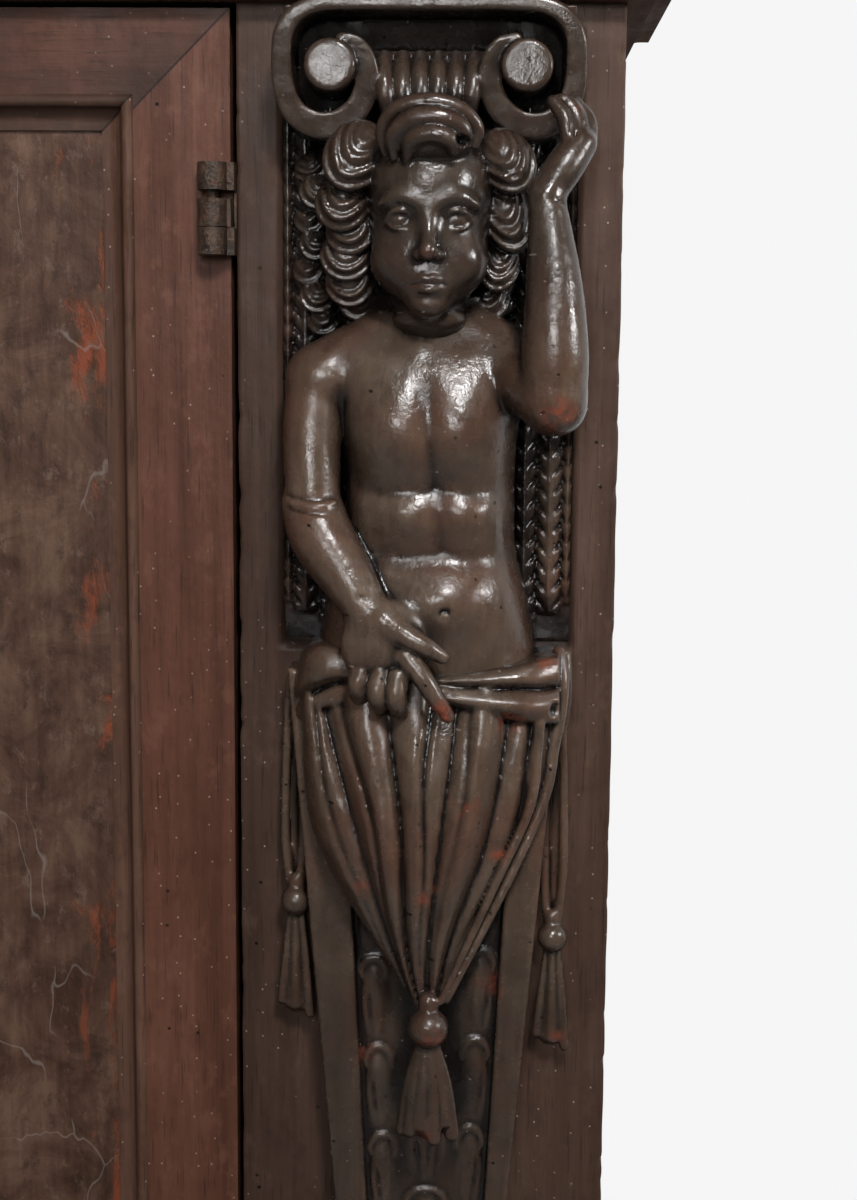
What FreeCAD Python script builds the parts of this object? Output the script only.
import FreeCAD, Part
import functools
import math
import os
import Sketcher

# A two-part walnut sideboard: a lower case with drawers and doors, an upper case with doors,
# and a carved term with a winged putto on each of the four corner stiles.
# Millimetres, +Z up, front towards -Y, origin on the floor under the middle of the piece.

os.makedirs("parts", exist_ok=True)
V = FreeCAD.Vector
doc = FreeCAD.newDocument("sideboard")
sheet = doc.addObject("Spreadsheet::Sheet", "Sizes")

SIZES = {
    # cases
    "lower_wide": 1440,
    "lower_deep": 470,
    "upper_inset": 40,
    "ledge_deep": 130,
    "lower_bay_high": 725,
    "upper_bay_high": 810,
    "drawer_bay_high": 134,
    "board": 22,
    "back_board": 14,
    "plank_gap": 1,
    "stile_wide": 195,
    "stile_thick": 30,
    "side_post_wide": 70,
    "side_rail_high": 62,
    "side_panel_thick": 10,
    "shelf_rise": 370,
    "shelf_setback": 60,
    "bearer_high": 24,
    "bearer_thick": 18,
    # mouldings, each with its height and its reach in front of the case
    "bun_high": 90,
    "bun_radius": 58,
    "bun_neck_radius": 36,
    "bun_inset": 62,
    "plinth_high": 72,
    "plinth_reach": 88,
    "plinth_ledge": 60,
    "waist_high": 30,
    "waist_reach": 46,
    "top_thick": 25,
    "top_reach": 62,
    "top_round": 8,
    "base_high": 50,
    "base_reach": 68,
    "base_ledge": 52,
    "architrave_high": 42,
    "architrave_reach": 40,
    "frieze_high": 50,
    "cornice_high": 58,
    "cornice_reach": 96,
    "fillet_step": 6,
    "locating_strip_high": 14,
    "locating_strip_wide": 24,
    "locating_play": 0.5,
    # doors
    "door_gap": 3,
    "door_thick": 24,
    "door_stile_wide": 49,
    "door_rail_high": 42,
    "panel_sunk": 9,
    "panel_thick": 10,
    "strip_wide": 17,
    "strip_step": 2,
    "bead_wide": 6,
    # hinges
    "hinge_drop": 79,
    "hinge_radius": 7.5,
    "hinge_offset": 11,
    "hinge_stand": 8,
    "pin_radius": 3,
    "pin_play": 0.06,
    "knuckle_high": 13.5,
    "knuckle_wear": 4.5,
    "knuckle_play": 0.4,
    "leaf_thick": 1.2,
    "leaf_deep": 20,
    # locks
    "lock_wide": 46,
    "lock_high": 54,
    "lock_thick": 16,
    "lock_wall": 2,
    "lock_backset": 25,
    "key_radius": 2.6,
    "key_play": 0.3,
    "key_reach": 24,
    "bow_radius": 9,
    "bow_wire": 2.2,
    "bit_long": 10,
    "bit_thick": 2.5,
    "bolt_long": 36,
    "bolt_high": 10,
    "bolt_thick": 6,
    "bolt_play": 0.3,
    "escutcheon_radius": 13,
    "escutcheon_thick": 1.5,
    "keeper_wide": 13,
    # drawers
    "drawer_gap": 2,
    "drawer_rest": 0.3,
    "drawer_front_thick": 24,
    "drawer_side_thick": 12,
    "drawer_bottom_thick": 8,
    "drawer_back_clear": 24,
    "drawer_side_drop": 18,
    "drawer_field_margin": 20,
    "drawer_field_sunk": 4,
    "guide_wide": 22,
    "guide_high": 40,
    "knob_radius": 15,
    "knob_long": 32,
    # terms, whose figures are set out in steps of the carver's grid
    "carving_step": 1,
    "niche_wide": 150,
    "niche_high": 312,
    "niche_drop": 12,
    "niche_deep": 8,
    "shaft_top_half": 70,
    "shaft_foot_half": 32,
    "shaft_deep": 25,
    "shaft_border": 18,
    "shaft_panel_sunk": 6,
    "term_foot_high": 30,
    "term_foot_half": 50,
    "term_foot_deep": 36,
    "band_wide": 8,
    "capital_half": 78,
    "capital_deep": 34,
    "volute_radius": 22.5,
    "eye_radius": 14,
    "eye_stand": 4,
    "eye_rise": 4,
    "capital_corner": 20,
    "capital_drop": 38,
    "capital_ground": 14,
    "capital_clear": 2,
    "term_bead_radius": 6,
    "term_bead_setback": 2,
    "tongue_wide": 10.5,
    "feather_wide": 10,
    "feather_thick": 5.5,
}


class Size:
    """A length with the sheet expression that gives it, so that sums keep both."""

    def __init__(self, text, value):
        self.text = text
        self.value = float(value)

    def _join(self, other, sign, value):
        return Size(f"({self.text} {sign} {other.text})", value)

    def __add__(self, other):
        other = size(other)
        return self._join(other, "+", self.value + other.value)

    def __radd__(self, other):
        return size(other) + self

    def __sub__(self, other):
        other = size(other)
        return self._join(other, "-", self.value - other.value)

    def __rsub__(self, other):
        return size(other) - self

    def __mul__(self, factor):
        factor = size(factor)
        return self._join(factor, "*", self.value * factor.value)

    def __rmul__(self, factor):
        return self * factor

    def __truediv__(self, divisor):
        divisor = size(divisor)
        return self._join(divisor, "/", self.value / divisor.value)

    def __neg__(self):
        return size(0) - self


def size(number):
    return number if isinstance(number, Size) else Size(str(number), number)


class Sheet:
    """The sizes of the sheet as attributes."""


at = Sheet()
for row, (alias, number) in enumerate(SIZES.items(), start=1):
    sheet.set(f"A{row}", alias)
    sheet.set(f"B{row}", str(number))
    sheet.setAlias(f"B{row}", alias)
    setattr(at, alias, Size(f"Sizes.{alias}", number))
doc.recompute()

# Levels from the floor up, and depths from the front back.
plinth_z = at.bun_high
lower_bay_z = plinth_z + at.plinth_high
drawer_bay_z = lower_bay_z + at.lower_bay_high
dust_z = drawer_bay_z + at.board
waist_z = drawer_bay_z + at.drawer_bay_high
top_z = waist_z + at.waist_high
upper_z = top_z + at.top_thick
upper_bay_z = upper_z + at.base_high
head_z = upper_bay_z + at.upper_bay_high
frieze_z = head_z + at.architrave_high
cornice_z = frieze_z + at.frieze_high
crown_z = cornice_z + at.cornice_high
back_y = (at.lower_deep + at.plinth_reach) / 2


class Case:
    """Where one of the two cases lies: its faces, its door bay and its height."""

    def __init__(self, name, wide, deep, floor, bay, bay_high, roof):
        self.name = name
        self.half = wide / 2
        self.face = back_y - deep
        self.deep = deep
        self.floor = floor
        self.bay = bay
        self.bay_top = bay + bay_high
        self.bay_high = bay_high
        self.roof = roof
        self.opening = wide / 2 - at.stile_wide
        self.stile_middle = wide / 2 - at.stile_wide / 2


lower = Case("lower", at.lower_wide, at.lower_deep, plinth_z, lower_bay_z, at.lower_bay_high, top_z)
upper = Case("upper", at.lower_wide - at.upper_inset * 2, at.lower_deep - at.ledge_deep, upper_z,
             upper_bay_z, at.upper_bay_high, crown_z - at.board)
HANDS = {"left": -1, "right": 1}
NODES = []


def bind(thing, **sizes):
    for name, length in sizes.items():
        thing.setExpression(name, size(length).text)


def place(thing, x, y, z, rotation=None):
    thing.Placement = FreeCAD.Placement(V(), rotation or FreeCAD.Rotation())
    for axis, length in zip("xyz", (x, y, z)):
        thing.setExpression(f".Placement.Base.{axis}", size(length).text)


def node(thing, label):
    """Keeps one object of the document as a sub-part with its own name."""
    thing.Label = label
    NODES.append(thing)
    return thing


def new(kind, label):
    thing = doc.addObject(kind, label)
    thing.Label = label
    return thing


def box(label, x, y, z):
    """A board between two values along each axis."""
    board = new("Part::Box", label)
    bind(board, Length=x[1] - x[0], Width=y[1] - y[0], Height=z[1] - z[0])
    place(board, x[0], y[0], z[0])
    return board


def hand_span(hand, inner, outer):
    """The span between two distances from the middle, on the given side."""
    inner, outer = size(inner), size(outer)
    return (inner, outer) if hand > 0 else (-outer, -inner)


def cylinder(label, radius, length, x, y, z, rotation=None):
    rod = new("Part::Cylinder", label)
    bind(rod, Radius=radius, Height=length)
    place(rod, x, y, z, rotation)
    return rod


def group(label, pieces):
    """Separate solids that share one sub-part."""
    several = new("Part::Compound", label)
    several.Links = pieces
    return several


def fuse(label, pieces):
    joined = new("Part::MultiFuse", label)
    joined.Shapes = pieces
    return joined


def cut(label, base, tool):
    rest = new("Part::Cut", label)
    rest.Base = base
    rest.Tool = tool
    return rest


def draw(sketch, corners):
    """Draws a closed outline. A corner with a radius starts an arc to the next corner:
    a positive radius turns to the left, a negative one to the right."""
    points = [V(size(corner[0]).value, size(corner[1]).value, 0) for corner in corners]
    count = len(points)
    for i, corner in enumerate(corners):
        start, end = points[i], points[(i + 1) % count]
        if len(corner) == 2:
            sketch.addGeometry(Part.LineSegment(start, end))
            continue
        radius = size(corner[2]).value
        chord = end - start
        middle = (start + end) / 2
        side = V(-chord.y, chord.x, 0).normalize()
        rise = math.sqrt(max(radius ** 2 - (chord.Length / 2) ** 2, 0))
        toward = 1 if radius > 0 else -1
        bow = middle - side * toward * (abs(radius) - rise)
        sketch.addGeometry(Part.Arc(start, bow, end))
    starts = []
    ends = []
    for i, corner in enumerate(corners):
        flipped = len(corner) == 3 and size(corner[2]).value < 0
        starts.append(2 if flipped else 1)
        ends.append(1 if flipped else 2)
    for i in range(count):
        following = (i + 1) % count
        sketch.addConstraint(Sketcher.Constraint("Coincident", i, ends[i], following, starts[following]))
    for i, corner in enumerate(corners):
        for kind, length in (("DistanceX", corner[0]), ("DistanceY", corner[1])):
            length = size(length)
            mark = sketch.addConstraint(Sketcher.Constraint(kind, -1, 1, i, starts[i], length.value))
            sketch.setExpression(f"Constraints[{mark}]", length.text)
        if len(corner) == 3:
            radius = size(corner[2])
            radius = radius if radius.value > 0 else -radius
            mark = sketch.addConstraint(Sketcher.Constraint("Radius", i, radius.value))
            sketch.setExpression(f"Constraints[{mark}]", radius.text)


def body_sketch(body, label, role):
    sketch = body.newObject("Sketcher::SketchObject", label)
    plane = next(item for item in body.Origin.OriginFeatures if item.Role == role)
    sketch.AttachmentSupport = [(plane, "")]
    sketch.MapMode = "FlatFace"
    return sketch


def rectangle(x, z):
    return [(x[0], z[0]), (x[1], z[0]), (x[1], z[1]), (x[0], z[1])]


def upright(label, corners, y):
    """A piece with an outline seen from the front, between two depths."""
    body = new("PartDesign::Body", label)
    sketch = body_sketch(body, f"{label}_outline", "XZ_Plane")
    draw(sketch, corners)
    pad = body.newObject("PartDesign::Pad", f"{label}_pad")
    pad.Profile = sketch
    bind(pad, Length=y[1] - y[0])
    place(body, 0, y[1], 0)
    return body


def level(label, corners, z):
    """A board with an outline seen from above, between two heights."""
    body = new("PartDesign::Body", label)
    sketch = body_sketch(body, f"{label}_outline", "XY_Plane")
    draw(sketch, corners)
    pad = body.newObject("PartDesign::Pad", f"{label}_pad")
    pad.Profile = sketch
    bind(pad, Length=z[1] - z[0])
    place(body, 0, 0, z[0])
    return body


def pocket(body, label, depth, corners=None, circle=None):
    """Cuts an outline or a round hole from the front of an upright piece, to a depth."""
    doc.recompute()
    before = body.Shape.Volume
    sketch = body_sketch(body, f"{label}_outline", "XZ_Plane")
    sketch.setExpression(".AttachmentOffset.Base.z", f"{body.Group[1].Name}.Length")
    if corners:
        draw(sketch, corners)
    else:
        x, z, radius = [size(item) for item in circle]
        sketch.addGeometry(Part.Circle(V(x.value, z.value, 0), V(0, 0, 1), radius.value))
        for kind, length in (("DistanceX", x), ("DistanceY", z)):
            mark = sketch.addConstraint(Sketcher.Constraint(kind, -1, 1, 0, 3, length.value))
            sketch.setExpression(f"Constraints[{mark}]", length.text)
        mark = sketch.addConstraint(Sketcher.Constraint("Radius", 0, radius.value))
        sketch.setExpression(f"Constraints[{mark}]", radius.text)
    hollow = body.newObject("PartDesign::Pocket", label)
    hollow.Profile = sketch
    bind(hollow, Length=depth)
    doc.recompute()
    if not body.Shape.Volume < before:
        raise ValueError(f"{label} removes nothing")


def turned(label, corners, rotation, places):
    """Turned pieces: a half outline of radius and height, revolved, one for each place."""
    pieces = []
    for number, (x, y, z) in enumerate(places, start=1):
        body = new("PartDesign::Body", f"{label}_{number}")
        sketch = body_sketch(body, f"{label}_{number}_outline", "XZ_Plane")
        draw(sketch, corners)
        spin = body.newObject("PartDesign::Revolution", f"{label}_{number}_spin")
        spin.Profile = sketch
        spin.ReferenceAxis = (sketch, ["V_Axis"])
        spin.Angle = 360
        place(body, x, y, z, rotation)
        pieces.append(body)
    return pieces


def strip(label, profile, start, reach_way, tall_way, length, reach, tall, ends):
    """A moulding strip: its profile (reach, height) run from a start point and mitred.
    Each end is 1 where the reach lengthens the strip, -1 where it shortens it, 0 if square."""
    turn = FreeCAD.Rotation(reach_way, tall_way, reach_way.cross(tall_way), "XYZ")
    sketch = new("Sketcher::SketchObject", f"{label}_profile")
    draw(sketch, profile)
    place(sketch, *start, rotation=turn)
    run = new("Part::Extrusion", f"{label}_run")
    run.Base = sketch
    run.DirMode = "Normal"
    run.Solid = True
    bind(run, LengthFwd=length + max(ends[1], 0) * reach, LengthRev=max(ends[0], 0) * reach)
    mitre = new("Part::Wedge", f"{label}_mitre")
    bind(mitre, Ymin=-reach, Ymax=2 * reach, Xmin=-2 * tall, Xmax=tall, X2min=-2 * tall, X2max=tall)
    bind(mitre, Zmin=ends[0] * reach, Zmax=length - ends[1] * reach)
    bind(mitre, Z2min=-2 * ends[0] * reach, Z2max=length + 2 * ends[1] * reach)
    place(mitre, *start, rotation=turn * FreeCAD.Rotation(V(0, 0, 1), -90))
    mitred = new("Part::Common", label)
    mitred.Base = run
    mitred.Tool = mitre
    return mitred


def moulding(label, case, z, profile, reach, tall):
    """A moulding round the front and both sides of a case, in three mitred lengths."""
    forward, left, right, up = V(0, -1, 0), V(-1, 0, 0), V(1, 0, 0), V(0, 0, 1)
    front = strip(f"{label}_front", profile, (case.half, case.face, z), forward, up,
                  2 * case.half, reach, tall, (1, 1))
    right_return = strip(f"{label}_right", profile, (case.half, back_y, z), right, up,
                         case.deep, reach, tall, (0, 1))
    left_return = strip(f"{label}_left", profile, (-case.half, case.face, z), left, up,
                        case.deep, reach, tall, (1, 0))
    return node(group(label, [front, right_return, left_return]), label)


# Moulding profiles as (reach, height) corners, from the case outwards.

def plinth_profile():
    fall = at.plinth_reach - at.plinth_ledge - at.fillet_step
    shoulder = at.plinth_high - at.fillet_step - fall
    return [
        (0, 0),
        (at.plinth_reach, 0),
        (at.plinth_reach, shoulder),
        (at.plinth_reach - at.fillet_step, shoulder, -fall),
        (at.plinth_ledge, at.plinth_high - at.fillet_step),
        (at.plinth_ledge, at.plinth_high),
        (0, at.plinth_high),
    ]


def waist_profile():
    hollow = at.waist_high - 2 * at.fillet_step
    start = at.waist_reach - hollow - at.fillet_step
    return [
        (0, 0),
        (start, 0),
        (start, at.fillet_step, -hollow),
        (start + hollow, at.fillet_step + hollow),
        (at.waist_reach, at.fillet_step + hollow),
        (at.waist_reach, at.waist_high),
        (0, at.waist_high),
    ]


def base_profile():
    fall = at.base_reach - at.base_ledge - at.fillet_step
    shoulder = at.base_high - at.fillet_step - fall
    return [
        (0, 0),
        (at.base_reach, 0),
        (at.base_reach, shoulder),
        (at.base_reach - at.fillet_step, shoulder, fall),
        (at.base_ledge, at.base_high - at.fillet_step),
        (at.base_ledge, at.base_high),
        (0, at.base_high),
    ]


def architrave_profile():
    hollow = at.architrave_high / 2 - at.fillet_step
    start = at.architrave_reach - hollow - at.fillet_step
    return [
        (0, 0),
        (start - at.fillet_step, 0),
        (start - at.fillet_step, at.architrave_high / 2 - at.fillet_step),
        (start, at.architrave_high / 2 - at.fillet_step),
        (start, at.architrave_high / 2, -hollow),
        (start + hollow, at.architrave_high / 2 + hollow),
        (at.architrave_reach, at.architrave_high / 2 + hollow),
        (at.architrave_reach, at.architrave_high),
        (0, at.architrave_high),
    ]


def cornice_profile():
    bed = at.cornice_high / 3
    corona = at.cornice_reach - bed - at.fillet_step
    crown = at.cornice_high - at.fillet_step
    return [
        (0, 0),
        (at.fillet_step, 0, bed),
        (at.fillet_step + bed, bed),
        (corona, bed),
        (corona, crown - bed, -bed),
        (corona + bed, crown),
        (at.cornice_reach, crown),
        (at.cornice_reach, at.cornice_high),
        (0, at.cornice_high),
    ]


# Carcass boards shared by both cases.

def framed_side(case, word, bottom_rail, top_rail):
    """A side of two posts and two rails round a sunk panel, behind the corner stile."""
    hand = HANDS[word]
    label = f"{case.name}_{word}_side"
    x = hand_span(hand, case.half - at.board, case.half)
    front = case.face + at.stile_thick
    back = back_y - at.back_board
    posts = [(front, front + at.side_post_wide), (back - at.side_post_wide, back)]
    between = (posts[0][1], posts[1][0])
    inset = (at.board - at.side_panel_thick) / 2
    x_panel = hand_span(hand, case.half - at.board + inset, case.half - inset)
    pieces = [
        box(f"{label}_front_post", x, posts[0], (case.floor, case.roof)),
        box(f"{label}_back_post", x, posts[1], (case.floor, case.roof)),
        box(f"{label}_bottom_rail", x, between, (case.floor, bottom_rail)),
        box(f"{label}_top_rail", x, between, (top_rail, case.roof)),
        box(f"{label}_panel", x_panel, between, (bottom_rail, top_rail)),
    ]
    return node(group(label, pieces), label)


def notched_board(case, label, z):
    """A full-depth board, notched at the front round the two stiles."""
    inside = case.half - at.board
    behind = case.face + at.stile_thick
    corners = [
        (-case.opening, case.face),
        (case.opening, case.face),
        (case.opening, behind),
        (inside, behind),
        (inside, back_y - at.back_board),
        (-inside, back_y - at.back_board),
        (-inside, behind),
        (-case.opening, behind),
    ]
    return node(level(label, corners, z), label)


def back_planks(case):
    """Upright planks nailed on behind, with a drying gap between them."""
    count = 5
    label = f"{case.name}_back"
    plank = (2 * case.half - (count - 1) * at.plank_gap) / count
    pieces = []
    for number in range(count):
        x = -case.half + number * (plank + at.plank_gap)
        pieces.append(box(f"{label}_{number + 1}", (x, x + plank), (back_y - at.back_board, back_y),
                          (case.floor, case.roof)))
    return node(group(label, pieces), label)


def shelf(case):
    """A shelf on two bearers that are fixed to the sides."""
    label = f"{case.name}_shelf"
    inside = case.half - at.board
    y = (case.face + at.shelf_setback, back_y - at.back_board)
    z = case.bay + at.shelf_rise
    pieces = [box(f"{label}_board", (-inside, inside), y, (z, z + at.board))]
    for word, hand in HANDS.items():
        x = hand_span(hand, inside - at.bearer_thick, inside)
        pieces.append(box(f"{label}_{word}_bearer", x, y, (z - at.bearer_high, z)))
    return node(group(label, pieces), label)


def stile(case, word):
    """The corner stile, with a sunk ground for the wings behind the figure."""
    hand = HANDS[word]
    label = f"{case.name}_{word}_stile"
    x = hand_span(hand, case.opening, case.half)
    body = upright(label, rectangle(x, (case.floor, case.roof)), (case.face, case.face + at.stile_thick))
    middle = case.stile_middle
    sunk = hand_span(hand, middle - at.niche_wide / 2, middle + at.niche_wide / 2)
    top = case.bay_top - at.niche_drop
    pocket(body, f"{label}_niche", at.niche_deep, rectangle(sunk, (top - at.niche_high, top)))
    return node(body, label)


# The carved term. Its points are (across, up, forward) in steps of the carver's grid, from the
# middle of the bay's top edge on the face of a right-hand stile; a left-hand term is its mirror
# image.

STEP = at.carving_step.value
FLATS = 8
FEW_FLATS = 6

# Sections of the trunk: (up, middle, half width, forward).
TRUNK = (
    (-160, 2, 30, 36),
    (-172, 3, 48, 48),
    (-195, 4, 50, 58),
    (-240, 7, 42, 54),
    (-288, 10, 47, 65),
    (-338, 4, 58, 46),
)

# Limbs of the figure: start, end, radius at the start, radius at the end, number of flats.
FIGURE = {
    "head": ((2, -95, 38), (1, -137, 50), 33, 18, 10),
    "nose": ((2, -106, 69), (2, -121, 76), 3, 5, FEW_FLATS),
    "forelock": ((-12, -72, 60), (20, -70, 60), 11, 11, FLATS),
    "neck": ((1, -140, 30), (1, -172, 30), 19, 22, FLATS),
    "left_upper_curl": ((-33, -84, 44), (-38, -112, 40), 15, 15, FLATS),
    "left_lower_curl": ((-38, -112, 40), (-32, -140, 34), 14.5, 12, FLATS),
    "right_upper_curl": ((36, -82, 46), (39, -108, 42), 13, 13, FLATS),
    "right_lower_curl": ((39, -108, 42), (33, -134, 36), 12.5, 11, FLATS),
    "low_curl": ((-54, -108, 10), (-50, -140, 10), 13, 12, FEW_FLATS),
    "lowered_upper_arm": ((-51, -180, 28), (-54, -238, 38), 21, 16, FLATS),
    "lowered_forearm": ((-54, -239, 38), (-25, -295, 56), 16.5, 11.5, FLATS),
    "lowered_palm": ((-22, -304, 58), (-16, -328, 60), 12.5, 11, FLATS),
    "lowered_fingers": ((-15, -332, 60), (-17, -348, 58), 9, 7, FEW_FLATS),
    "pointing_finger": ((-8, -322, 63), (13, -346, 62), 5.5, 4, FEW_FLATS),
    "thumb": ((-10, -306, 62), (11, -317, 63), 5.5, 4.5, FEW_FLATS),
    "raised_upper_arm": ((42, -172, 26), (66, -190, 62), 22, 17, FLATS),
    "raised_forearm": ((65, -191, 62), (61, -104, 58), 17.5, 11, FLATS),
    "raised_palm": ((62, -97, 56), (69, -72, 50), 11.5, 10, FLATS),
    "raised_fingers": ((69, -67, 50), (65, -55, 45), 9, 7.5, FEW_FLATS),
}

# Sections of the apron of cloth: (up, middle, half width, forward).
APRON = (
    (-334, 0, 63, 46),
    (-410, 0, 50, 54),
    (-506, 4, 9, 52),
)
APRON_FOLDS = 9

# Rolls and falls of the cloth: start, end, radius at the start, radius at the end, number of flats.
CLOTH = {
    "left_roll": ((-60, -335, 40), (0, -346, 50), 10, 9, FLATS),
    "right_roll": ((0, -346, 50), (60, -330, 42), 9.5, 10, FLATS),
    "upper_roll": ((10, -332, 56), (58, -318, 42), 7, 8, FEW_FLATS),
    "left_knot": ((-62, -330, 36), (-66, -350, 20), 13, 12, FLATS),
    "right_knot": ((62, -322, 38), (66, -345, 20), 12, 12, FLATS),
    "left_fall": ((-67, -352, 14), (-69, -452, 9), 9, 6, FEW_FLATS),
    "right_fall": ((66, -348, 14), (68, -468, 9), 9, 6, FEW_FLATS),
}

# Tassels: middle of the ball, radius of the ball, length, radius at the end.
TASSELS = {
    "middle": ((4, -513, 48), 12, 60, 15),
    "left": ((-69, -460, 10), 8.5, 64, 9),
    "right": ((68, -477, 11), 8.5, 64, 9),
}
FEATHERS = 3
FEATHER_FIRST = 47
FEATHER_TOP = -40
FEATHER_TIP = -316
FEATHER_RISE = 7
FEATHER_STEP_BACK = 1.2
TONGUES = 5
TONGUE_TOP = (-33, 22)
TONGUE_FOOT = (-47, 28)
SHAFT_TOP = -330
SHAFT_PANEL_TOP = -440


def steps(length):
    """A length of the sheet in steps of the carver's grid."""
    return length.value / STEP


def spot(across, up, forward):
    return V(across, -forward, up) * STEP


def polygon(corners):
    return Part.Face(Part.makePolygon(corners + corners[:1]))


def blocked(rings):
    """A solid through rings of corners, one after another, with a flat or a pair of flats
    between each corner and the next."""
    faces = [polygon(rings[0]), polygon(rings[-1])]
    for near, far in zip(rings, rings[1:]):
        for i, start in enumerate(near):
            following = (i + 1) % len(near)
            corners = [start, near[following], far[following], far[i]]
            normal = (corners[1] - start).cross(corners[3] - start)
            lift = abs((corners[2] - start).dot(normal)) / normal.Length
            if lift < 1e-7:
                faces.append(polygon(corners))
            else:
                faces.append(polygon(corners[:3]))
                faces.append(polygon([start, corners[2], corners[3]]))
    solid = Part.makeSolid(Part.makeShell(faces))
    return solid if solid.Volume > 0 else solid.reversed()


def ring(centre, turn, along, radius, flats):
    """Corners of a regular outline, square to a limb, with the area of the round one."""
    turn_step = 2 * math.pi / flats
    reach = radius * math.sqrt(turn_step / math.sin(turn_step))
    corners = []
    for i in range(flats):
        angle = i * turn_step
        corners.append(centre + turn.multVec(V(reach * math.cos(angle), reach * math.sin(angle), along)))
    return corners


def limb(start, end, start_radius, end_radius, flats):
    """A tapering limb with rounded ends, blocked out in flats as a carver does."""
    start, end = spot(*start), spot(*end)
    start_radius, end_radius = start_radius * STEP, end_radius * STEP
    along = end - start
    turn = FreeCAD.Rotation(V(0, 0, 1), along)
    cap_high, cap_radius = 0.75, 0.6
    rings = [
        (-cap_high * start_radius, cap_radius * start_radius),
        (0, start_radius),
        (along.Length, end_radius),
        (along.Length + cap_high * end_radius, cap_radius * end_radius),
    ]
    return blocked([ring(start, turn, height, radius, flats) for height, radius in rings])


def slab(corners, back, front):
    """A flat piece with a straight-sided outline of (across, up) corners, between two depths."""
    face = polygon([spot(across, up, back) for across, up in corners])
    return face.extrude(spot(0, 0, front - back))


def trunk():
    """Chest and belly: a loft through blocked-out sections, flat against the ground."""
    side_forward, breast_across, breast_forward = 0.35, 0.6, 0.86
    behind = -steps(at.niche_deep)
    rings = []
    for up, middle, half, forward in TRUNK:
        rings.append([
            spot(middle + half, up, behind),
            spot(middle - half, up, behind),
            spot(middle - half, up, side_forward * forward),
            spot(middle - breast_across * half, up, breast_forward * forward),
            spot(middle, up, forward),
            spot(middle + breast_across * half, up, breast_forward * forward),
            spot(middle + half, up, side_forward * forward),
        ])
    return blocked(rings)


def apron():
    """Cloth in folds that run together from the waist to the middle tassel."""
    rings = []
    for up, middle, half, forward in APRON:
        width = 2 * half / APRON_FOLDS
        corners = []
        for i in range(2 * APRON_FOLDS + 1):
            depth = forward if i % 2 else forward - width / 2
            corners.append(spot(middle - half + i * width / 2, up, depth))
        corners += [spot(middle + half, up, 0), spot(middle - half, up, 0)]
        rings.append(corners)
    return blocked(rings)


def tassel(ball, ball_radius, length, end_radius):
    """A ball with a flaring tassel below it."""
    across, up, forward = ball
    neck_radius, flare, narrowing = 0.55 * ball_radius, 0.7, 0.9
    half = 0.25 * ball_radius
    down = FreeCAD.Rotation(V(0, 0, 1), V(0, 0, -1))
    rings = [(0, neck_radius), (flare * length, end_radius), (length, narrowing * end_radius)]
    tail = blocked([ring(spot(*ball), down, height * STEP, radius * STEP, FEW_FLATS)
                    for height, radius in rings])
    round_ball = limb((across, up + half, forward), (across, up - half, forward), ball_radius,
                      ball_radius, FLATS)
    return [round_ball, tail]


def wings():
    """Long feathers that hang in the sunk ground behind the arms, on each side."""
    solids = []
    behind, width = -steps(at.niche_deep), steps(at.feather_wide)
    for side in (-1, 1):
        for number in range(FEATHERS):
            middle = side * (FEATHER_FIRST + number * width)
            tip = FEATHER_TIP + FEATHER_RISE * number
            corners = [
                (middle - width / 2, FEATHER_TOP),
                (middle + width / 2, FEATHER_TOP),
                (middle + width / 2, tip + width),
                (middle, tip),
                (middle - width / 2, tip + width),
            ]
            front = behind + steps(at.feather_thick) - FEATHER_STEP_BACK * number
            solids.append(slab(corners, behind, front))
    return solids


def capital():
    """A flat band that runs across the top and curls under at both sides into volutes,
    with a gadrooned cushion between them."""
    band, half, radius = steps(at.band_wide), steps(at.capital_half), steps(at.volute_radius)
    eye, stand, rise = steps(at.eye_radius), steps(at.eye_stand), steps(at.eye_rise)
    corner = steps(at.capital_corner)
    front, behind = steps(at.capital_deep), -steps(at.niche_deep)
    top = -band / 2 - steps(at.capital_clear)
    drop = -steps(at.capital_drop)
    edge = half - band / 2
    inner = radius - 0.75 * band
    slant = math.sqrt(0.5)
    solids = []
    for side in (-1, 1):

        def flat(across, up):
            return spot(side * across, up, 0)

        volute, curl = edge - radius, edge - 2 * radius + inner
        path = [
            Part.LineSegment(flat(0, top), flat(edge - corner, top)),
            Part.Arc(flat(edge - corner, top),
                     flat(edge - corner + corner * slant, top - corner + corner * slant),
                     flat(edge, top - corner)),
            Part.LineSegment(flat(edge, top - corner), flat(edge, drop)),
            Part.Arc(flat(edge, drop), flat(volute, drop - radius), flat(volute - radius, drop)),
            Part.Arc(flat(volute - radius, drop),
                     flat(curl - inner * slant, drop + inner * slant), flat(curl, drop + inner)),
        ]
        wire = Part.Wire([piece.toShape() for piece in path])
        face = Part.Face(wire.makeOffset2D(band / 2 * STEP, 0, False, False))
        face.translate(spot(0, 0, behind))
        solids.append(face.extrude(spot(0, 0, front - behind)))
        solids.append(Part.makeCylinder(eye * STEP, (front + stand - behind) * STEP,
                                        spot(side * curl, drop + rise, behind), V(0, -1, 0)))
    foot = drop - inner / 3
    ground = [(-edge, top), (edge, top), (edge, foot), (-edge, foot)]
    solids.append(slab(ground, behind, steps(at.capital_ground)))
    width, drawn_in = steps(at.tongue_wide), 0.85
    for number in range(TONGUES):
        across = (number - (TONGUES - 1) / 2) * width
        solids.append(limb((across, *TONGUE_TOP), (drawn_in * across, *TONGUE_FOOT),
                           0.62 * width, 0.57 * width, FEW_FLATS))
    return solids


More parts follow.
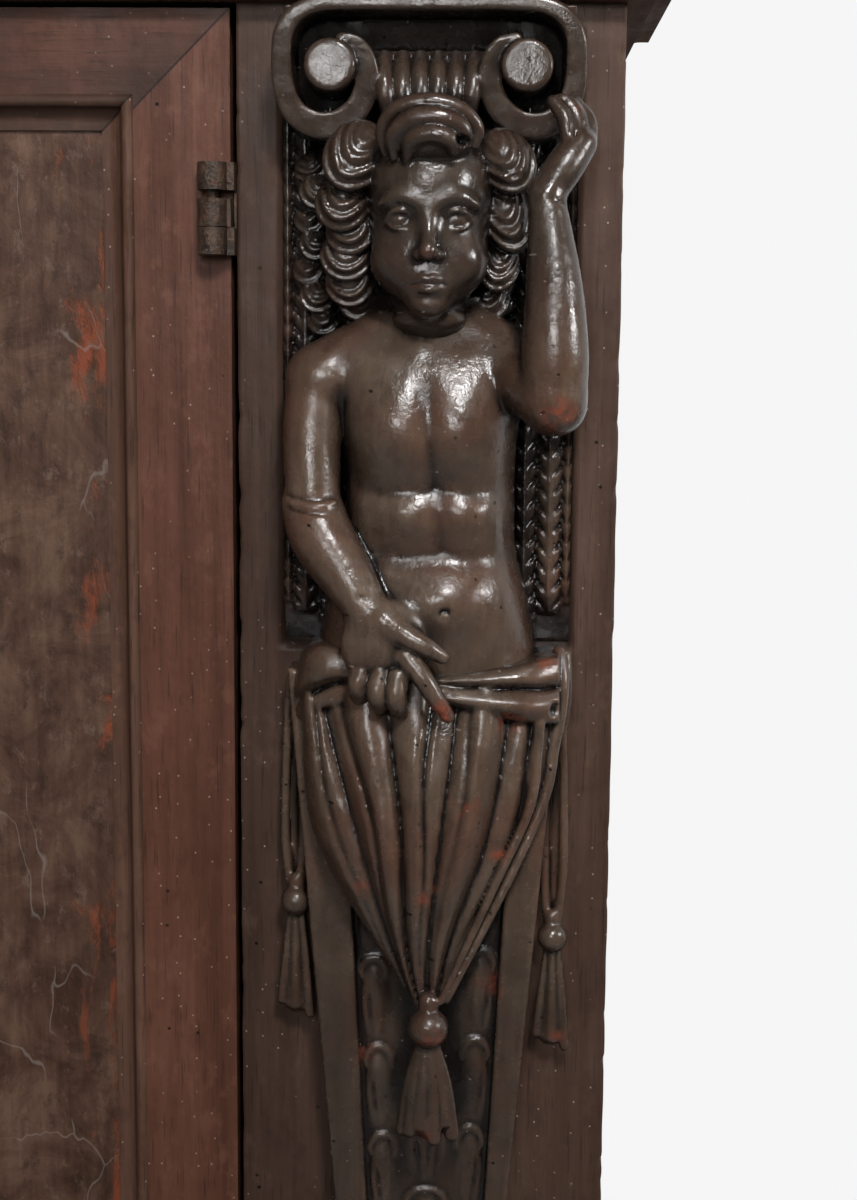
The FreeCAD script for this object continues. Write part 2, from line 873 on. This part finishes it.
def shaft(bay_high):
    """The tapering shaft below the drapery, with a sunk panel, on a small foot."""
    floor = -bay_high / STEP
    foot = steps(at.term_foot_high) + floor
    top_half, foot_half = steps(at.shaft_top_half), steps(at.shaft_foot_half)
    border, deep = steps(at.shaft_border), steps(at.shaft_deep)
    seat = -1

    def half_at(up):
        return foot_half + (top_half - foot_half) * (up - foot) / (SHAFT_TOP - foot)

    body = slab([(-top_half, SHAFT_TOP), (top_half, SHAFT_TOP), (foot_half, foot), (-foot_half, foot)],
                seat, deep)
    panel_foot = foot + border
    wide, narrow = half_at(SHAFT_PANEL_TOP) - border, half_at(panel_foot) - border
    panel = [(-wide, SHAFT_PANEL_TOP), (wide, SHAFT_PANEL_TOP), (narrow, panel_foot), (-narrow, panel_foot)]
    sunk = slab(panel, deep - steps(at.shaft_panel_sunk), 2 * deep)
    half, forward = steps(at.term_foot_half), steps(at.term_foot_deep)
    base = slab([(-half, foot), (half, foot), (half, floor), (-half, floor)], seat, forward)
    bead = steps(at.term_bead_radius)
    bead_forward = forward - bead - steps(at.term_bead_setback)
    ovolo = limb((bead - half, foot, bead_forward), (half - bead, foot, bead_forward), bead, bead, FLATS)
    return [body.cut(sunk), base, ovolo]


@functools.lru_cache
def carving(bay_high):
    """The whole carving of a right-hand term in one piece of wood."""
    solids = capital() + wings() + shaft(bay_high) + [trunk(), apron()]
    solids += [limb(*sizes) for sizes in FIGURE.values()]
    solids += [limb(*sizes) for sizes in CLOTH.values()]
    for sizes in TASSELS.values():
        solids += tassel(*sizes)
    return solids[0].multiFuse(solids[1:]).removeSplitter()


def term(case, word, ground):
    """One carved term, seated on its stile and in the stile's sunk ground."""
    hand = HANDS[word]
    label = f"{case.name}_{word}_term"
    whole = carving(case.bay_high.value)
    block = new("Part::Feature", f"{label}_block")
    block.Shape = whole if hand > 0 else whole.mirror(V(), V(1, 0, 0))
    place(block, hand * case.stile_middle, case.face, case.bay_top)
    return node(cut(label, block, ground), label)


# Doors with their irons.

def door_panel_edges(case):
    """The span of a door and of the opening in its frame, from the middle and from the floor."""
    x = (at.door_gap / 2, case.opening - at.door_gap)
    z = (case.bay + at.door_gap, case.bay_top - at.door_gap)
    x_inside = (x[0] + at.door_stile_wide, x[1] - at.door_stile_wide)
    z_inside = (z[0] + at.door_rail_high, z[1] - at.door_rail_high)
    return x, z, x_inside, z_inside


def door_frame(case, word):
    """Two stiles and two rails, mitred at the corners. The right door's inner stile is bored
    for the key."""
    hand = HANDS[word]
    label = f"{case.name}_{word}_door_frame"
    x, z, x_in, z_in = door_panel_edges(case)
    y = (case.face, case.face + at.door_thick)
    members = {
        "inner_stile": [(x[0], z[0]), (x_in[0], z_in[0]), (x_in[0], z_in[1]), (x[0], z[1])],
        "outer_stile": [(x[1], z[0]), (x[1], z[1]), (x_in[1], z_in[1]), (x_in[1], z_in[0])],
        "top_rail": [(x[0], z[1]), (x_in[0], z_in[1]), (x_in[1], z_in[1]), (x[1], z[1])],
        "bottom_rail": [(x[0], z[0]), (x[1], z[0]), (x_in[1], z_in[0]), (x_in[0], z_in[0])],
    }
    pieces = []
    for name, corners in members.items():
        corners = [(hand * across, up) for across, up in corners]
        member = upright(f"{label}_{name}", corners, y)
        if hand > 0 and name == "inner_stile":
            key_x, key_z = key_spot(case)
            bore = (key_x, key_z, at.key_radius + at.key_play)
            pocket(member, f"{label}_keyhole", at.door_thick, circle=bore)
        pieces.append(member)
    return node(group(label, pieces), label)


def strip_profile():
    """Bead against the frame, then a hollow down to a small step on the panel."""
    hollow = at.panel_sunk - at.strip_step
    return [
        (0, 0),
        (at.strip_wide, 0),
        (at.strip_wide, at.strip_step),
        (at.bead_wide + hollow, at.strip_step, -hollow),
        (at.bead_wide, at.panel_sunk, 0.55 * at.bead_wide),
        (0, at.panel_sunk),
    ]


def door_moulding(case, word):
    """The applied moulding round the panel, in four mitred strips."""
    hand = HANDS[word]
    label = f"{case.name}_{word}_door_moulding"
    _, _, x_in, z_in = door_panel_edges(case)
    low, high = hand_span(hand, *x_in)
    y = case.face + at.panel_sunk
    out, left, right = V(0, -1, 0), V(-1, 0, 0), V(1, 0, 0)
    up, down = V(0, 0, 1), V(0, 0, -1)
    wide, high_run = high - low, z_in[1] - z_in[0]
    runs = {
        "top": ((high, y, z_in[1]), down, wide),
        "bottom": ((low, y, z_in[0]), up, wide),
        "left": ((low, y, z_in[1]), right, high_run),
        "right": ((high, y, z_in[0]), left, high_run),
    }
    tall = at.panel_sunk + at.bead_wide
    pieces = []
    for name, (start, way, length) in runs.items():
        pieces.append(strip(f"{label}_{name}", strip_profile(), start, way, out, length,
                            at.strip_wide, tall, (-1, -1)))
    return node(group(label, pieces), label)


def door_panel(case, word):
    label = f"{case.name}_{word}_door_panel"
    _, _, x_in, z_in = door_panel_edges(case)
    y = (case.face + at.panel_sunk, case.face + at.panel_sunk + at.panel_thick)
    return node(box(label, hand_span(HANDS[word], *x_in), y, z_in), label)


def hinge_levels(case):
    """The foot of each of a door's two hinges."""
    tall = 3 * at.knuckle_high + at.knuckle_wear + at.knuckle_play
    return tall, [case.bay + at.hinge_drop, case.bay_top - at.hinge_drop - tall]


def hinge_axis(case, hand):
    return hand * (case.opening - at.hinge_offset), case.face - at.hinge_stand


def hinge_leaf(label, case, hand, edge, leaf_z, knuckles, bore):
    """A cranked leaf: knuckles round the pin, arms across and back to the gap, a plate in the gap."""
    x, y = hinge_axis(case, hand)
    x_arm = hand_span(hand, case.opening - at.hinge_offset, edge)
    x_leaf = hand_span(hand, edge - at.leaf_thick, edge)
    y_arm = (y - at.leaf_thick, y + at.leaf_thick)
    pieces = [box(f"{label}_plate", x_leaf, (case.face, case.face + at.leaf_deep), leaf_z)]
    for number, (low, high) in enumerate(knuckles, start=1):
        pieces.append(cylinder(f"{label}_knuckle_{number}", at.hinge_radius, high - low, x, y, low))
        pieces.append(box(f"{label}_arm_{number}", x_arm, y_arm, (low, high)))
        pieces.append(box(f"{label}_neck_{number}", x_leaf, (y_arm[0], case.face), (low, high)))
    hole = cylinder(f"{label}_bore", bore, leaf_z[1] - leaf_z[0], x, y, leaf_z[0])
    return cut(label, fuse(f"{label}_solid", pieces), hole)


def fixed_hinges(case):
    """The leaves on the stiles with their outer knuckles, and the pins that they hold."""
    label = f"{case.name}_hinge_leaves"
    tall, feet = hinge_levels(case)
    pieces = []
    for word, hand in HANDS.items():
        x, y = hinge_axis(case, hand)
        for number, foot in enumerate(feet, start=1):
            name = f"{label}_{word}_{number}"
            knuckles = [(foot, foot + at.knuckle_high), (foot + tall - at.knuckle_high, foot + tall)]
            pieces.append(hinge_leaf(name, case, hand, case.opening, (foot, foot + tall), knuckles,
                                     at.pin_radius))
            pieces.append(cylinder(f"{name}_pin", at.pin_radius, tall, x, y, foot))
    return node(group(label, pieces), label)


def moving_hinges(case, word):
    """The two leaves that a door carries, each with the middle knuckle."""
    hand = HANDS[word]
    tall, feet = hinge_levels(case)
    leaves = []
    for number, foot in enumerate(feet, start=1):
        low = foot + at.knuckle_high + at.knuckle_play
        edge = case.opening - at.door_gap + at.leaf_thick
        knuckle = (low, low + at.knuckle_high)
        leaves.append(hinge_leaf(f"{case.name}_{word}_hinge_{number}", case, hand, edge,
                                 (foot, foot + tall), [knuckle], at.pin_radius + at.pin_play))
    return leaves


def key_spot(case):
    return at.door_gap / 2 + at.lock_backset, case.bay + case.bay_high / 2


def bolt_box(case, play):
    """The space of the lock bolt, with some play round it."""
    _, key_z = key_spot(case)
    x = (at.door_gap / 2, at.door_gap / 2 + at.bolt_long)
    wall = case.face + at.door_thick + at.lock_thick - at.lock_wall - at.bolt_play
    low = key_z + at.bit_long + at.key_radius
    y = (wall - at.bolt_thick - play, wall + play)
    return x, y, (low - play, low + at.bolt_high + play)


def lock_case(case):
    """An iron case on the back of the right door, open to the wood, with a slot for the bolt."""
    label = f"{case.name}_lock"
    _, key_z = key_spot(case)
    wall = at.lock_wall
    x = (at.door_gap / 2, at.door_gap / 2 + at.lock_wide)
    y = (case.face + at.door_thick, case.face + at.door_thick + at.lock_thick)
    z = (key_z - at.lock_high / 2, key_z + at.lock_high / 2)
    shell = box(f"{label}_shell", x, y, z)
    hollow = box(f"{label}_hollow", (x[0] + wall, x[1] - wall), (y[0] - wall, y[1] - wall),
                 (z[0] + wall, z[1] - wall))
    slot_x, slot_y, slot_z = bolt_box(case, at.bolt_play)
    slot = box(f"{label}_slot", (slot_x[0] - wall, slot_x[0] + 2 * wall), slot_y, slot_z)
    return cut(f"{label}_case", shell, fuse(f"{label}_space", [hollow, slot]))


def escutcheon(case):
    key_x, key_z = key_spot(case)
    label = f"{case.name}_escutcheon"
    forward = FreeCAD.Rotation(V(1, 0, 0), 90)
    where = (key_x, case.face, key_z)
    thick = at.escutcheon_thick
    plate = cylinder(f"{label}_plate", at.escutcheon_radius, thick, *where, forward)
    hole = cylinder(f"{label}_hole", at.key_radius + at.key_play, thick, *where, forward)
    return cut(label, plate, hole)


def keeper(case):
    """The staple on the back of the left door that the bolt shoots into."""
    label = f"{case.name}_keeper"
    _, bolt_y, bolt_z = bolt_box(case, at.bolt_play)
    wall = at.lock_wall
    edge = at.door_gap / 2
    y = (case.face + at.door_thick, bolt_y[1] + wall)
    block = box(f"{label}_block", (-edge - at.keeper_wide, -edge), y, (bolt_z[0] - wall, bolt_z[1] + wall))
    mouth = box(f"{label}_mouth", (wall - edge - at.keeper_wide, wall - edge), bolt_y, bolt_z)
    return cut(label, block, mouth)


def door_irons(case, word):
    label = f"{case.name}_{word}_door_irons"
    irons = [lock_case(case), escutcheon(case)] if word == "right" else [keeper(case)]
    return node(group(label, moving_hinges(case, word) + irons), label)


def bolt(case):
    label = f"{case.name}_bolt"
    return node(box(label, *bolt_box(case, 0)), label)


def key(case):
    """A key with a flat ring bow, a shank through the door and a bit inside the lock."""
    label = f"{case.name}_key"
    key_x, key_z = key_spot(case)
    back = case.face + at.door_thick + at.lock_thick - at.lock_wall - at.bolt_play
    front = case.face - at.key_reach
    forward = FreeCAD.Rotation(V(1, 0, 0), 90)
    shank = cylinder(f"{label}_shank", at.key_radius, back - front, key_x, back, key_z, forward)
    across = FreeCAD.Rotation(V(0, 1, 0), 90)
    middle = (key_x - at.bow_wire, front - at.bow_radius, key_z)
    disc = cylinder(f"{label}_disc", at.bow_radius + at.bow_wire, 2 * at.bow_wire, *middle, across)
    eye = cylinder(f"{label}_eye", at.bow_radius - at.bow_wire, 2 * at.bow_wire, *middle, across)
    bow = cut(f"{label}_bow", disc, eye)
    half = at.bit_thick / 2
    wood = case.face + at.door_thick + at.lock_wall
    bit = box(f"{label}_bit", (key_x - half, key_x + half), (wood, back), (key_z - at.bit_long, key_z))
    return node(fuse(label, [shank, bow, bit]), label)


def doors(case):
    for word in HANDS:
        door_frame(case, word)
        door_moulding(case, word)
        door_panel(case, word)
        door_irons(case, word)
    fixed_hinges(case)
    bolt(case)
    key(case)


# Drawers in the lower case.

def drawer_span():
    x = (at.board / 2 + at.drawer_gap, lower.opening - at.drawer_gap)
    z = (dust_z + at.drawer_gap, waist_z - at.drawer_gap)
    return x, z


def drawer(word):
    hand = HANDS[word]
    name = f"{word}_drawer"
    x, z = drawer_span()
    front = (lower.face, lower.face + at.drawer_front_thick)
    board = upright(f"{name}_front", rectangle(hand_span(hand, *x), z), front)
    margin = at.drawer_field_margin
    field = rectangle(hand_span(hand, x[0] + margin, x[1] - margin), (z[0] + margin, z[1] - margin))
    pocket(board, f"{name}_field", at.drawer_field_sunk, field)
    node(board, f"{name}_front")

    side = at.drawer_side_thick
    y = (front[1], back_y - at.back_board - at.drawer_back_clear)
    base = dust_z + at.drawer_rest
    rim = z[1] - at.drawer_side_drop
    floor = (base, base + at.drawer_bottom_thick)
    walls = (floor[1], rim)
    inside = hand_span(hand, x[0] + side, x[1] - side)
    pieces = [
        box(f"{name}_bottom", hand_span(hand, *x), y, floor),
        box(f"{name}_inner_side", hand_span(hand, x[0], x[0] + side), y, walls),
        box(f"{name}_outer_side", hand_span(hand, x[1] - side, x[1]), y, walls),
        box(f"{name}_back", inside, (y[1] - side, y[1]), walls),
    ]
    node(group(f"{name}_box", pieces), f"{name}_box")

    radius, length = at.knob_radius, at.knob_long
    neck = radius / 2
    profile = [
        (0, 0),
        (radius * 0.8, 0),
        (radius * 0.8, length / 8),
        (neck, length / 4),
        (neck, length / 2),
        (radius, length * 0.72),
        (radius * 0.7, length * 0.94),
        (0, length),
    ]
    forward = FreeCAD.Rotation(V(1, 0, 0), 90)
    where = (hand * (x[0] + x[1]) / 2, lower.face + at.drawer_field_sunk, (z[0] + z[1]) / 2)
    node(turned(f"{name}_knob", profile, forward, [where])[0], f"{name}_knob")


def drawer_guides():
    """The divider between the drawers, and a guide outside each of them on the dust board."""
    y = (lower.face, back_y - at.back_board)
    half = at.board / 2
    pieces = [box("drawer_divider", (-half, half), y, (dust_z, waist_z))]
    behind = (lower.face + at.stile_thick, back_y - at.back_board)
    for word, hand in HANDS.items():
        x = hand_span(hand, lower.opening, lower.opening + at.guide_wide)
        pieces.append(box(f"{word}_drawer_guide", x, behind, (dust_z, dust_z + at.guide_high)))
    return node(group("drawer_guides", pieces), "drawer_guides")


def bun_feet():
    """Four turned feet under the corners."""
    tall, neck, wide = at.bun_high, at.bun_neck_radius, at.bun_radius
    pad = wide * 0.7
    profile = [
        (0, 0),
        (pad, 0, wide * 0.62),
        (wide, tall * 0.4, wide * 0.62),
        (neck, tall * 0.8),
        (neck, tall * 0.88),
        (wide * 0.75, tall * 0.88),
        (wide * 0.75, tall),
        (0, tall),
    ]
    across = lower.half - at.bun_inset
    front, back = lower.face + at.bun_inset, back_y - at.bun_inset
    places = [(hand * across, y, 0) for hand in HANDS.values() for y in (front, back)]
    return node(group("bun_feet", turned("bun_foot", profile, None, places)), "bun_feet")


def lower_top():
    """The top board of the lower case, overhanging on three sides, with rounded edges."""
    half, front = lower.half + at.top_reach, lower.face - at.top_reach
    corners = [(-half, front), (half, front), (half, back_y), (-half, back_y)]
    body = level("lower_top", corners, (top_z, upper_z))
    doc.recompute()
    pad = body.Tip
    edges = []
    for number, edge in enumerate(pad.Shape.Edges, start=1):
        middle = edge.CenterOfMass
        flat = abs(edge.BoundBox.ZLength) < 1e-6
        if flat and middle.y < back_y.value - 1:
            edges.append(f"Edge{number}")
    rounding = body.newObject("PartDesign::Fillet", "lower_top_rounding")
    rounding.Base = (pad, edges)
    bind(rounding, Radius=at.top_round)
    return node(body, "lower_top")


def lower_case():
    for word in HANDS:
        framed_side(lower, word, lower_bay_z + at.side_rail_high, drawer_bay_z - at.side_rail_high)
        term(lower, word, stile(lower, word))
    notched_board(lower, "lower_bottom", (lower_bay_z - at.board, lower_bay_z))
    notched_board(lower, "dust_board", (drawer_bay_z, dust_z))
    rail_y = (lower.face, lower.face + at.stile_thick)
    rail = box("lower_top_rail", (-lower.opening, lower.opening), rail_y, (waist_z, top_z))
    node(rail, "lower_top_rail")
    lower_top()
    back_planks(lower)
    shelf(lower)
    moulding("plinth_moulding", lower, plinth_z, plinth_profile(), at.plinth_reach, at.plinth_high)
    moulding("waist_moulding", lower, waist_z, waist_profile(), at.waist_reach, at.waist_high)
    bun_feet()
    drawer_guides()
    for word in HANDS:
        drawer(word)
    locating_strips()
    doors(lower)


def locating_strips():
    """Battens on the lower top, just inside the sides of the upper case, that keep it in place."""
    pieces = []
    y = (upper.face + at.stile_thick + at.locating_play, back_y - at.back_board - at.locating_play)
    outer = upper.half - at.board - at.locating_play
    for word, hand in HANDS.items():
        x = hand_span(hand, outer - at.locating_strip_wide, outer)
        pieces.append(box(f"{word}_locating_strip", x, y, (upper_z, upper_z + at.locating_strip_high)))
    return node(group("locating_strips", pieces), "locating_strips")


def upper_case():
    for word in HANDS:
        framed_side(upper, word, upper_bay_z + at.side_rail_high, head_z - at.side_rail_high)
        term(upper, word, stile(upper, word))
    notched_board(upper, "upper_bottom", (upper_bay_z - at.board, upper_bay_z))
    rail_y = (upper.face, upper.face + at.stile_thick)
    rail = box("upper_head_rail", (-upper.opening, upper.opening), rail_y, (head_z, upper.roof))
    node(rail, "upper_head_rail")
    roof = box("upper_top", (-upper.half, upper.half), (upper.face, back_y), (upper.roof, crown_z))
    node(roof, "upper_top")
    back_planks(upper)
    shelf(upper)
    moulding("upper_base_moulding", upper, upper_z, base_profile(), at.base_reach, at.base_high)
    moulding("architrave", upper, head_z, architrave_profile(), at.architrave_reach, at.architrave_high)
    moulding("cornice", upper, cornice_z, cornice_profile(), at.cornice_reach, at.cornice_high)
    doors(upper)


lower_case()
upper_case()
doc.recompute()

for thing in doc.Objects:
    if "Invalid" in thing.State or "Error" in thing.State:
        raise RuntimeError(f"{thing.Label} did not build: {thing.State}")
for piece in NODES:
    if piece.Shape.isNull() or not piece.Shape.isValid() or not piece.Shape.Solids:
        raise RuntimeError(f"{piece.Label} has no valid solid")
for piece in NODES:
    piece.Shape.exportStep(f"parts/{piece.Label}.step")
